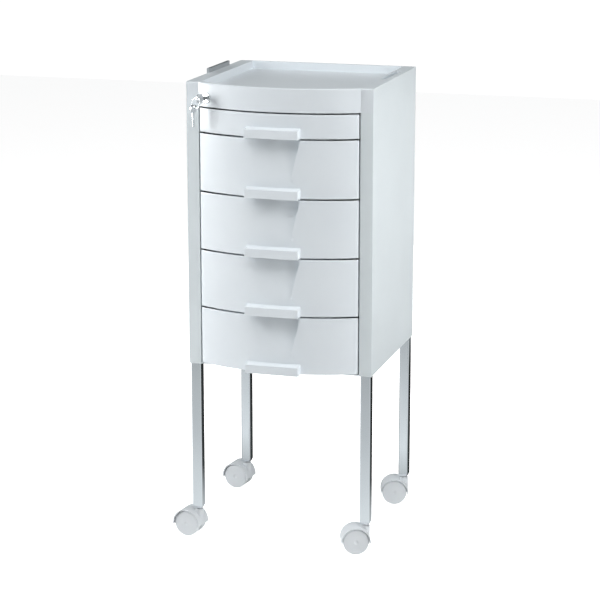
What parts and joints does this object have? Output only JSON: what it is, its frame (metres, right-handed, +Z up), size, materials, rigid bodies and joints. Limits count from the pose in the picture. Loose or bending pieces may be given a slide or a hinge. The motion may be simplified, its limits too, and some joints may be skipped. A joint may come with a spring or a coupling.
{
  "type": "salon trolley",
  "caption": "Bow-fronted rolling drawer trolley with pull lips, a lockable top rail, a rimmed tray top and slim square legs on twin-wheel casters.",
  "frame": {"origin": "on the floor under the middle of the overall footprint", "axes": "+X to the right seen from the front, +Y from the drawer fronts to the back, +Z up"},
  "size_m": [0.4041, 0.3975, 0.906],
  "materials": {
    "white_moulding": "satin gloss",
    "white_panel": "smooth powder coat",
    "box_plastic": "fine grain",
    "slide_steel": "epoxy coated",
    "chrome": "polished",
    "caster_plastic": "satin",
    "steel": "turned",
    "aluminium": "satin anodised"
  },
  "bodies": {
    "cabinet": {"side_left": "white_panel", "side_right": "white_panel", "back_panel": "white_panel", "bottom_panel": "white_panel", "top_moulding": "white_moulding", "rivets": "aluminium", "accessory_rail": "aluminium", "lock_barrel": "chrome", "lock_nut": "steel", "lock_bar_guides": "steel", "leg_plugs": "chrome", "caster_stems": "steel", "rails_1": "slide_steel", "rails_2": "slide_steel", "rails_3": "slide_steel", "rails_4": "slide_steel", "rails_5": "slide_steel", "leg_front_left": "chrome", "leg_front_right": "chrome", "leg_rear_left": "chrome", "leg_rear_right": "chrome"},
    "drawer_1": {"drawer_1_front": "white_moulding", "drawer_1_box": "box_plastic", "drawer_1_slides": "slide_steel", "drawer_1_screws": "steel"},
    "drawer_2": {"drawer_2_front": "white_moulding", "drawer_2_box": "box_plastic", "drawer_2_slides": "slide_steel", "drawer_2_screws": "steel"},
    "drawer_3": {"drawer_3_front": "white_moulding", "drawer_3_box": "box_plastic", "drawer_3_slides": "slide_steel", "drawer_3_screws": "steel"},
    "drawer_4": {"drawer_4_front": "white_moulding", "drawer_4_box": "box_plastic", "drawer_4_slides": "slide_steel", "drawer_4_screws": "steel"},
    "drawer_5": {"drawer_5_front": "white_moulding", "drawer_5_box": "box_plastic", "drawer_5_slides": "slide_steel", "drawer_5_screws": "steel"},
    "lock": {"lock_plug": "chrome", "lock_cam": "steel", "key": "chrome"},
    "keys": {"key_ring": "chrome", "spare_key": "chrome"},
    "lock_bar": {"lock_bar": "steel"},
    "caster_front_left": {"hood_front_left": "caster_plastic"},
    "wheels_front_left": {"wheels_front_left": "caster_plastic", "axle_front_left": "steel"},
    "caster_front_right": {"hood_front_right": "caster_plastic"},
    "wheels_front_right": {"wheels_front_right": "caster_plastic", "axle_front_right": "steel"},
    "caster_rear_left": {"hood_rear_left": "caster_plastic"},
    "wheels_rear_left": {"wheels_rear_left": "caster_plastic", "axle_rear_left": "steel"},
    "caster_rear_right": {"hood_rear_right": "caster_plastic"},
    "wheels_rear_right": {"wheels_rear_right": "caster_plastic", "axle_rear_right": "steel"}
  },
  "joints": [
    {"name": "drawer_1_slide", "type": "slide", "parent": "cabinet", "child": "drawer_1", "axis": [0, -1, 0], "range_m": [0, 0.24]},
    {"name": "drawer_2_slide", "type": "slide", "parent": "cabinet", "child": "drawer_2", "axis": [0, -1, 0], "range_m": [0, 0.24]},
    {"name": "drawer_3_slide", "type": "slide", "parent": "cabinet", "child": "drawer_3", "axis": [0, -1, 0], "range_m": [0, 0.24]},
    {"name": "drawer_4_slide", "type": "slide", "parent": "cabinet", "child": "drawer_4", "axis": [0, -1, 0], "range_m": [0, 0.24]},
    {"name": "drawer_5_slide", "type": "slide", "parent": "cabinet", "child": "drawer_5", "axis": [0, -1, 0], "range_m": [0, 0.24]},
    {"name": "lock_turn", "type": "hinge", "parent": "cabinet", "child": "lock", "pos_m": [-0.1185, -0.15454, 0.869], "axis": [0.4019, 0.9157, 0], "range_deg": [0, 90]},
    {"name": "lock_bar_drop", "type": "slide", "parent": "cabinet", "child": "lock_bar", "axis": [0, 0, -1], "range_m": [0, 0.008]},
    {"name": "key_ring_swing", "type": "hinge", "parent": "lock", "child": "keys", "pos_m": [-0.12787, -0.17588, 0.869], "axis": [-0.9157, 0.4019, 0], "range_deg": [-10, 50]},
    {"name": "swivel_front_left", "type": "hinge", "parent": "cabinet", "child": "caster_front_left", "pos_m": [-0.1495, -0.1335, 0.04], "axis": [0, 0, 1], "continuous": true},
    {"name": "spin_front_left", "type": "hinge", "parent": "caster_front_left", "child": "wheels_front_left", "pos_m": [-0.16881, -0.13079, 0.025], "axis": [0.1392, 0.9903, 0], "continuous": true},
    {"name": "swivel_front_right", "type": "hinge", "parent": "cabinet", "child": "caster_front_right", "pos_m": [0.1885, -0.1335, 0.04], "axis": [0, 0, 1], "continuous": true},
    {"name": "spin_front_right", "type": "hinge", "parent": "caster_front_right", "child": "wheels_front_right", "pos_m": [0.17018, -0.14017, 0.025], "axis": [-0.342, 0.9397, 0], "continuous": true},
    {"name": "swivel_rear_left", "type": "hinge", "parent": "cabinet", "child": "caster_rear_left", "pos_m": [-0.1495, 0.1725, 0.04], "axis": [0, 0, 1], "continuous": true},
    {"name": "spin_rear_left", "type": "hinge", "parent": "caster_rear_left", "child": "wheels_rear_left", "pos_m": [-0.16881, 0.17521, 0.025], "axis": [0.1392, 0.9903, 0], "continuous": true},
    {"name": "swivel_rear_right", "type": "hinge", "parent": "cabinet", "child": "caster_rear_right", "pos_m": [0.1885, 0.1725, 0.04], "axis": [0, 0, 1], "continuous": true},
    {"name": "spin_rear_right", "type": "hinge", "parent": "caster_rear_right", "child": "wheels_rear_right", "pos_m": [0.16966, 0.16745, 0.025], "axis": [-0.2588, 0.9659, 0], "continuous": true}
  ],
  "couplings": [
    {"joint": "lock_turn", "follows": "lock_bar_drop", "rad_per_m": 196.34}
  ]
}
